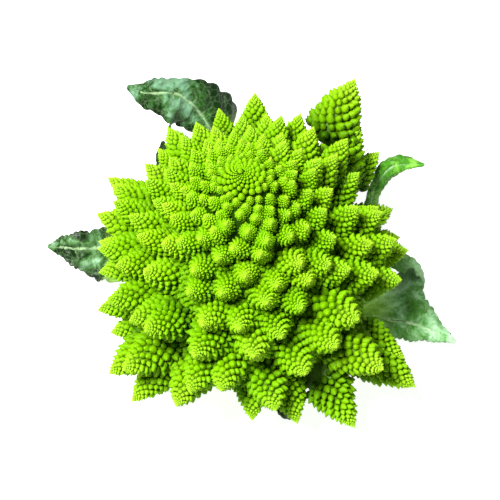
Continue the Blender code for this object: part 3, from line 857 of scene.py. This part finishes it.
def build_core(surface):
    """Ground of the hollows between the florets, down to the neck of the stalk, painted dark as their shade.
    """
    turns = np.linspace(0, 2 * math.pi, CORE_SIDES, endpoint=False)
    rows = []
    for polar in np.linspace(CORE_TOP_ANGLE, DOME_END_ANGLE, CORE_RINGS):
        ways = [direction(t, polar) for t in turns]
        rows.append(in_head(np.array([w * core_reach(w) for w in ways])))
    for step in np.linspace(0, 1, UNDER_RINGS)[1:]:
        rows.append(in_head(np.array([under_core(t, step) for t in turns])))
    points = np.concatenate(rows)
    # Zero tones: the darkest green and the full pit darkening, painted shade
    tones = np.zeros((len(points), 4))
    tones[:, 3] = 1
    faces = lathe_faces(len(rows), CORE_SIDES)
    add_mesh("curd_core", points, faces, tones, surface, ["curd"])


def bend(corners, steps):
    """Points on the smooth curve that four corners draw."""
    t = np.linspace(0, 1, steps)[:, None]
    a, b, c, d = corners
    return a * (1 - t) ** 3 + 3 * b * t * (1 - t) ** 2 + 3 * c * t ** 2 * (1 - t) + d * t ** 3


def tube(path, halves, sides):
    """Rings of points round a path."""
    ahead = unit(np.gradient(path, axis=0))
    turned = frame_at(ahead, np.zeros(len(path)))
    turns = np.linspace(0, 2 * math.pi, sides, endpoint=False)
    circle = np.stack([np.cos(turns), np.sin(turns), np.zeros(sides)], axis=-1)
    for i in range(1, len(path)):
        side = turned[i - 1, :, 0] - ahead[i] * (turned[i - 1, :, 0] @ ahead[i])
        turned[i, :, 0] = side / np.linalg.norm(side)
        turned[i, :, 1] = np.cross(ahead[i], turned[i, :, 0])
    return path[:, None] + np.einsum("nij,sj->nsi", turned, circle) * halves[:, None, None]


def build_branches(frames, tips, width, surface):
    """Stems from the outer florets' feet, round the underside and in to the stalk."""
    parts = []
    share = np.linspace(0, 1, BRANCH_STEPS)
    slim = (1 - share) ** BRANCH_TAPER
    tone = np.zeros((BRANCH_STEPS, BRANCH_SIDES, 4))
    tone[..., 0] = share[:, None]
    tone[..., 3] = 1
    for turned, tip, wide in zip(frames, tips, width):
        axis = turned[:, 2]
        polar = math.acos(np.clip(tip[2] / np.linalg.norm(tip), -1, 1))
        if polar < BRANCH_POLAR or wide < SMALL_FLORET:
            continue
        foot = in_head(tip - axis * BRANCH_START * wide)
        turn = math.atan2(foot[1], foot[0])
        neck = ring(turn, BRANCH_NECK * NECK_WIDTH, NECK_HEIGHT - BRANCH_SINK)
        pull = ring(turn, 1, BRANCH_RISE) * BRANCH_PULL
        path = bend((foot, foot - axis * BRANCH_REACH * wide, neck + pull, neck), BRANCH_STEPS)
        halves = BRANCH_START_HALF * wide * slim + 0.5 * BRANCH_END_WIDTH * (1 - slim)
        rings = tube(path, halves, BRANCH_SIDES)
        parts.append((rings.reshape(-1, 3), lathe_faces(BRANCH_STEPS, BRANCH_SIDES), tone.reshape(-1, 4)))
    points, faces, tones = joined(parts)
    add_mesh("curd_branches", points, faces, tones, surface, ["curd"])


def stalk_half_width(height):
    """Half width of the stalk at a height in mm."""
    outline = STALK_OUTLINE[::-1]
    return float(np.interp(height, [h for h, w in outline], [w for h, w in outline])) * MM


def level_ring(turns, half, height):
    """Points round the stalk's middle at one height."""
    return np.stack([half * np.cos(turns), half * np.sin(turns), np.full(len(turns), height)], axis=-1)


def build_stalk(surface):
    """The trimmed stem: a lathe shape with shallow ridges and a bevelled cut foot."""
    turns = np.linspace(0, 2 * math.pi, STALK_SIDES, endpoint=False)
    top = STALK_OUTLINE[0][0]
    rows = []
    tones = []
    ridge = sum(rise * np.sin(count * turns + shift) for count, rise, shift in STALK_RIDGES) - STALK_INSET
    swells = SWELL_HEIGHT * np.maximum(0, np.sin(SWELLS * turns + SWELL_TURN))
    for height in np.linspace(top, STALK_OUTLINE[-2][0], STALK_ROWS):
        swell = swells * np.exp(-((height - SWELL_LEVEL) / SWELL_SPREAD) ** 2)
        half = stalk_half_width(height) + (ridge + swell) * MM
        rows.append(level_ring(turns, half, height * MM))
        tones.append(height / top)
    for share in CUT_SHARES:
        rows.append(level_ring(turns, CUT_HALF * share, CUT_BEVEL if share == 1 else 0.0))
        tones.append(0)
    points = np.concatenate(rows + [np.zeros((1, 3))])
    cap = fan((len(rows) - 1) * STALK_SIDES, STALK_SIDES, len(points) - 1)
    faces = np.concatenate([lathe_faces(len(rows), STALK_SIDES), cap])
    tone = np.zeros((len(points), 4))
    tone[:-1, 0] = np.repeat(tones, STALK_SIDES)
    tone[:, 3] = 1
    add_mesh("stalk_fine", points, faces, tone, surface, ["stalk"])


def smooth_run(values, share):
    """A point on a smooth curve through the values, at a share of its length."""
    place = share * (len(values) - 1)
    at = min(int(place), len(values) - 2)
    t = place - at
    before = values[max(at - 1, 0)]
    start = values[at]
    end = values[at + 1]
    after = values[min(at + 2, len(values) - 1)]
    return 0.5 * (2 * start + (end - before) * t + (2 * before - 5 * start + 4 * end - after) * t ** 2
                  + (3 * start - before - 3 * end + after) * t ** 3)


def leaf_spine(leaf):
    azimuth, height = leaf["foot"]
    foot_half = stalk_half_width(height) + STALK_GAP + FOOT_CLEARANCE
    foot = ring(math.radians(azimuth), foot_half, height * MM - DOME_HEIGHT)
    spine = [foot] + [np.array(p[:3]) * MM for p in leaf["rib"]]
    halves = [leaf["rib"][0][3:]] + [p[3:] for p in leaf["rib"]]
    return spine, np.array(halves) * MM


def edge_cut(share, side):
    """How far notches and teeth cut into the blade at its edge, as a share of its half width."""
    notches = np.abs(np.sin(math.pi * (EDGE_NOTCHES * share + EDGE_OFFSET * side)))
    wobble = TOOTH_WOBBLE * math.sin(TOOTH_WOBBLES * share)
    teeth = np.abs(np.sin(math.pi * (TOOTH_COUNT * share + TOOTH_OFFSET * side + wobble)))
    return EDGE_NOTCH_SHARE * (1 - notches) + TOOTH_SHARE * (1 - teeth)


def blade_lift(columns, wide, side, share, phase):
    """Height of the blade over its flat plane: cupped, folded beside the rib and waved at the edge."""
    out = np.abs(columns)
    wave = EDGE_WAVE_SHARE * np.minimum(wide, EDGE_WAVE_WIDEST) * out ** EDGE_WAVE_POWER
    wave = wave * min(1, EDGE_WAVE_RISE * share)
    ruffle = RUFFLE_SHARE * math.sin(RUFFLES * share + phase)
    waves = np.sin(2 * math.pi * EDGE_WAVES * share + side) + ruffle
    return CUP_SHARE * wide * out ** 2 + FOLD_SHARE * wide * (out - out ** 2) + wave * waves


def blade_veins(columns, aside, wide, side, share, run, phase):
    """Across one row: nearness to a side vein and to the rib, and the bulge between the veins."""
    out = np.abs(columns)
    wander = VEIN_WANDER * np.sin(WANDER_ACROSS * out + WANDER_ALONG * share + phase + side)
    vein = VEINS_PER_LENGTH * (run - VEIN_SLANT * np.abs(aside)) + VEIN_OFFSET * side + wander
    gap = np.abs(vein - np.round(vein)) / VEINS_PER_LENGTH
    near = np.exp(-((gap / (0.5 * VEIN_WIDTH)) ** 2)) * (1 - VEIN_FADE * out) * (wide > VEIN_LEAST_HALF)
    rib = np.exp(-((aside / (RIB_MARK_SHARE * RIB_HALF_WIDTH * (RIB_MARK_END - share))) ** 2))
    bulge = BULGE_HEIGHT * (1 - near) * np.abs(np.cos(math.pi * vein)) * (wide > BULGE_LEAST_HALF)
    return near, rib, bulge * (1 - rib)


def blade_grid(spine, halves, face, phase):
    """The blade's middle face as a grid of points, with its thickness and tones."""
    columns = np.linspace(-1, 1, BLADE_COLUMNS)
    columns = np.sign(columns) * np.abs(columns) ** COLUMN_CROWDING
    side = np.where(columns > 0, 1, -1)
    middle = np.empty((BLADE_ROWS, BLADE_COLUMNS, 3))
    thick = np.empty((BLADE_ROWS, BLADE_COLUMNS))
    tones = np.ones((BLADE_ROWS, BLADE_COLUMNS, 4))
    run = 0.0
    last = spine[0]
    for row, share in enumerate(np.arange(BLADE_ROWS) / (BLADE_ROWS - 1)):
        centre = smooth_run(spine, share)
        ahead = smooth_run(spine, min(share + SPINE_STEP, 1)) - smooth_run(spine, max(share - SPINE_STEP, 0))
        ahead = unit(ahead)
        up = unit(face - ahead * (face @ ahead))
        across = np.cross(ahead, up)
        run += np.linalg.norm(centre - last)
        last = centre
        half = np.maximum(smooth_run(halves, share), TIP_HALF_WIDTH)
        wide = np.where(columns > 0, half[0], half[1])
        aside = columns * wide * (1 - edge_cut(share, side) * np.abs(columns))
        near, rib, bulge = blade_veins(columns, aside, wide, side, share, run, phase)
        lift = blade_lift(columns, wide, side, share, phase) - VEIN_DEPTH * near - bulge
        rib_thick = RIB_THICKNESS + (RIB_TIP_THICKNESS - RIB_THICKNESS) * share
        beside = np.maximum(0, 1 - np.abs(aside) / RIB_HALF_WIDTH) ** RIB_ROUNDNESS
        thick[row] = BLADE_THICKNESS + (rib_thick - BLADE_THICKNESS) * beside + VEIN_THICKNESS * near
        middle[row] = centre + across * aside[:, None] + up * lift[:, None]
        tones[row, :, 0] = np.maximum(near * VEIN_SHOWING, rib * RIB_SHOWING)
        tones[row, :, 1] = np.abs(columns)
        tones[row, :, 2] = share
    return middle, thick, tones


def build_leaf(name, leaf, surface, rng):
    """A blade of two fine faces: rib, side veins, puckered between them, with a cut and waved edge."""
    spine, halves = leaf_spine(leaf)
    phase = rng.uniform(0, FREE_TURN)
    middle, thick, tones = blade_grid(spine, halves, np.array(leaf["faces"]), phase)
    out = unit(np.cross(np.gradient(middle, axis=1), np.gradient(middle, axis=0))) * (thick / 2)[..., None]
    upper = (middle + out).reshape(-1, 3)
    lower = (middle - out).reshape(-1, 3)
    row, col = np.meshgrid(np.arange(BLADE_ROWS - 1), np.arange(BLADE_COLUMNS - 1), indexing="ij")
    near = (row * BLADE_COLUMNS + col).ravel()
    far = near + BLADE_COLUMNS
    top = quads(near, near + 1, far + 1, far)
    rim = blade_rim()
    after = np.roll(rim, -1)
    count = len(upper)
    edge = quads(rim, after, after + count, rim + count)
    faces = np.concatenate([top, top[:, ::-1] + count, edge])
    points = spine[0] + (np.concatenate([upper, lower]) - spine[0]) * LEAF_SPREAD.get(name, 1)
    tone = np.concatenate([tones.reshape(-1, 4)] * 2)
    add_mesh(name + "_fine", points + (0, 0, DOME_HEIGHT), faces, tone, surface, [name])


def blade_rim():
    """Numbers of the grid points round a blade's edge, in order."""
    grid = np.arange(BLADE_ROWS * BLADE_COLUMNS).reshape(BLADE_ROWS, BLADE_COLUMNS)
    return np.concatenate([grid[:, 0], grid[-1, 1:], grid[-2::-1, -1], grid[0, -2:0:-1]])


def build_leaves():
    rng = np.random.default_rng(SEED + 1)
    for name, leaf in LEAVES.items():
        surface = leaf_material(name, *LEAF_GREENS[name])
        build_leaf(name, leaf, surface, rng)


def fill(tree, made, inputs):
    """Gives a shader node's inputs their values, or links from other nodes' outputs."""
    for key, value in inputs.items():
        if isinstance(value, bpy.types.NodeSocket):
            tree.links.new(value, made.inputs[key])
        else:
            made.inputs[key].default_value = value


def add_node(tree, kind, inputs, **settings):
    made = tree.nodes.new("ShaderNode" + kind)
    for key, value in settings.items():
        setattr(made, key, value)
    fill(tree, made, inputs)
    return made.outputs


def start_material(name):
    """A material: itself, its node tree, its shader, its tone channels and the object's coordinates."""
    surface = bpy.data.materials.new(name)
    surface.use_nodes = True
    tree = surface.node_tree
    tone = add_node(tree, "VertexColor", {}, layer_name="tone")["Color"]
    channels = add_node(tree, "SeparateColor", {"Color": tone})
    place = add_node(tree, "TexCoord", {})["Object"]
    return surface, tree, tree.nodes["Principled BSDF"], channels, place


def noise(tree, place, inputs):
    return add_node(tree, "TexNoise", {"Vector": place, **inputs})


def ranged(tree, value, low, high, start=0.0, end=1.0):
    """A value from start to end, mapped to low to high."""
    ends = {"From Min": start, "From Max": end, "To Min": low, "To Max": high}
    return add_node(tree, "MapRange", {"Value": value, **ends})["Result"]


def times(tree, first, second):
    return add_node(tree, "VectorMath", {0: first, 1: second}, operation="MULTIPLY")[0]


def blend(tree, share, first, second):
    """The first colour, turned into the second by a share."""
    return add_node(tree, "Mix", {0: share, 6: first, 7: second}, data_type="RGBA")[2]


def ramp(tree, value, stops):
    """Colours along a value, from stops that each have a place and a colour."""
    made = tree.nodes.new("ShaderNodeValToRGB")
    fill(tree, made, {"Fac": value})
    elements = made.color_ramp.elements
    elements[0].color = (*stops[0][1], 1)
    elements[1].color = (*stops[-1][1], 1)
    for place, colour in stops[1:-1]:
        elements.new(place).color = (*colour, 1)
    return made.outputs["Color"]


def bump(tree, height, strength, distance, invert=False):
    inputs = {"Height": height, "Strength": strength, "Distance": distance}
    return add_node(tree, "Bump", inputs, invert=invert)["Normal"]


def finish(tree, shader, colour, normal, roughness, specular):
    fill(tree, shader, {"Base Color": colour, "Normal": normal, "Roughness": roughness,
                        "Specular IOR Level": specular})


def curd_material():
    """Green with painted shade that darkens it to a floret's foot and in the pits, lighter at the bud tips,
    and varied in patches.
    """
    surface, tree, shader, channels, place = start_material("curd")
    greens = ramp(tree, channels[0], CURD_GREENS_WITH_FOOT_SHADE)
    # Painted shade in the pits, at the bud edges and roots, and a painted lift at the bud tips
    pit_shaded = times(tree, greens, ranged(tree, channels[1], *CURD_PIT_SHADE))
    patches = noise(tree, place, CURD_PATCHES)["Fac"]
    own = ranged(tree, channels[2], *CURD_OWN_SHADE)
    shade = add_node(tree, "Math", {0: patches, 1: own}, operation="ADD")[0]
    tint = blend(tree, shade, (*CURD_COOL, 1), (*CURD_WARM, 1))
    bumps = add_node(tree, "TexVoronoi", {"Vector": place, **CURD_BUMPS})["Distance"]
    normal = bump(tree, bumps, strength=0.4, distance=0.0002, invert=True)
    finish(tree, shader, times(tree, pit_shaded, tint), normal, roughness=0.45, specular=0.06)
    return surface


def leaf_material(name, deep, green, bloom):
    """Waxy leaf: bloom in patches over the green, painted shade darker to the rim, pale veins, a faint net
    and a yellower stem brightened as painted light.
    """
    surface, tree, shader, channels, place = start_material(name)
    patches = noise(tree, place, BLOOM_PATCHES)["Fac"]
    waxy = ranged(tree, patches, 0, 1, *BLOOM_RANGE)
    greens = ramp(tree, waxy, ((0, deep), (GREEN_STOP, green), (1, bloom)))
    # Painted shade: darker towards the rim
    shaded = times(tree, greens, ranged(tree, channels[1], *RIM_SHADES, *RIM_RANGE))
    warp = noise(tree, place, NET_WARP)["Color"]
    drift = add_node(tree, "VectorMath", {0: warp, 1: NET_DRIFT, 2: place}, operation="MULTIPLY_ADD")[0]
    cells = add_node(tree, "TexVoronoi", {"Vector": drift, **NET_CELLS}, feature="DISTANCE_TO_EDGE")
    line = ranged(tree, cells["Distance"], *NET_SHOWING, *NET_LINE)
    vein = add_node(tree, "Math", {0: channels[0], 1: line}, operation="MAXIMUM")[0]
    veined = blend(tree, vein, shaded, (*VEIN_GREEN, 1))
    stem = ranged(tree, channels[2], *STEM_SHOWING, *STEM_RANGE)
    # The stem's own yellower green, brightened as painted light
    colour = blend(tree, stem, veined, (*STEM_GREEN_AND_PAINTED_LIGHT, 1))
    puckers = noise(tree, place, LEAF_PUCKERS)["Fac"]
    normal = bump(tree, puckers, strength=0.5, distance=0.0025)
    finish(tree, shader, colour, normal, roughness=0.42, specular=0.2)
    return surface


def flesh_material(name, greens, stretch):
    """Firm flesh: two greens by its tone, shaded by patches and by fibres stretched upright."""
    surface, tree, shader, channels, place = start_material(name)
    tone = ramp(tree, channels[0], ((0, greens[0]), (1, greens[1])))
    along = add_node(tree, "Mapping", {"Vector": place, "Scale": (1, 1, stretch)})["Vector"]
    fibres = noise(tree, along, FLESH_FIBRES)["Fac"]
    patches = noise(tree, place, FLESH_PATCHES)["Fac"]
    both = add_node(tree, "Math", {0: fibres, 1: patches}, operation="ADD")[0]
    colour = times(tree, tone, ranged(tree, both, *FLESH_SHADES, *FLESH_RANGE))
    normal = bump(tree, fibres, strength=0.5, distance=0.0006)
    finish(tree, shader, colour, normal, roughness=0.5, specular=0.3)
    return surface


def add_camera():
    """A camera that sees the head as the photo does."""
    sine = math.sin(VIEW_ELEVATION)
    cosine = math.cos(VIEW_ELEVATION)
    look = np.array((0, cosine, -sine))
    up = np.array((0, sine, cosine))
    aside = (VIEW_MIDDLE[0] - PICTURE_SIDE / 2) / PIXELS_PER_METRE
    rise = (VIEW_MIDDLE[1] - PICTURE_SIDE / 2) / PIXELS_PER_METRE
    aim = np.array((-aside, 0, DOME_HEIGHT)) + up * rise
    camera = bpy.data.cameras.new("camera")
    camera.sensor_width = SENSOR_WIDTH
    camera.lens = SENSOR_WIDTH * PIXELS_PER_METRE * CAMERA_DISTANCE / PICTURE_SIDE
    item = add_object("camera", camera)
    item.location = aim - look * CAMERA_DISTANCE
    item.rotation_euler = Vector(look).to_track_quat("-Z", "Y").to_euler()
    bpy.context.scene.camera = item


def add_light():
    light = bpy.data.lights.new("key", "AREA")
    light.energy = KEY_POWER
    light.shape = "DISK"
    light.size = KEY_SIZE
    item = add_object("key", light)
    item.location = KEY_PLACE
    aim = Vector((0, 0, DOME_HEIGHT)) - Vector(KEY_PLACE)
    item.rotation_euler = aim.to_track_quat("-Z", "Y").to_euler()


def add_sky():
    world = bpy.data.worlds.new("studio")
    bpy.context.scene.world = world
    world.use_nodes = True
    back = world.node_tree.nodes["Background"]
    back.inputs["Color"].default_value = WHITE
    back.inputs["Strength"].default_value = SKY_STRENGTH


def build_floor():
    """A flat white disc whose edge bends up into a low wall."""
    turns = np.linspace(0, 2 * math.pi, FLOOR_SIDES, endpoint=False)
    bends = np.linspace(0, math.pi / 2, FLOOR_BENDS)
    profile = [(FLOOR_REACH + FLOOR_BEND * math.sin(b), FLOOR_BEND * (1 - math.cos(b))) for b in bends]
    rows = [ring(t, half, height) for half, height in profile for t in turns]
    mesh = bpy.data.meshes.new("floor")
    faces = [list(range(FLOOR_SIDES))] + lathe_faces(len(profile), FLOOR_SIDES).tolist()
    mesh.from_pydata([tuple(p) for p in rows], [], faces)
    surface = bpy.data.materials.new("floor")
    surface.use_nodes = True
    fill(surface.node_tree, surface.node_tree.nodes["Principled BSDF"],
         {"Base Color": FLOOR_GREY, "Roughness": FLOOR_ROUGHNESS, "Emission Color": WHITE,
          "Emission Strength": FLOOR_GLOW})
    mesh.materials.append(surface)
    add_object("floor", mesh)


curd = curd_material()
frames, tips, width = build_florets(curd)
build_core(curd)
build_hollow_buds(frames, tips, width, curd)
build_branches(frames, tips, width, flesh_material("branch", BRANCH_GREENS, BRANCH_STRETCH))
build_stalk(flesh_material("stalk", STALK_GREENS, STALK_STRETCH))
build_leaves()
bpy.context.scene.view_settings.view_transform = "Standard"
add_camera()
add_light()
add_sky()
build_floor()
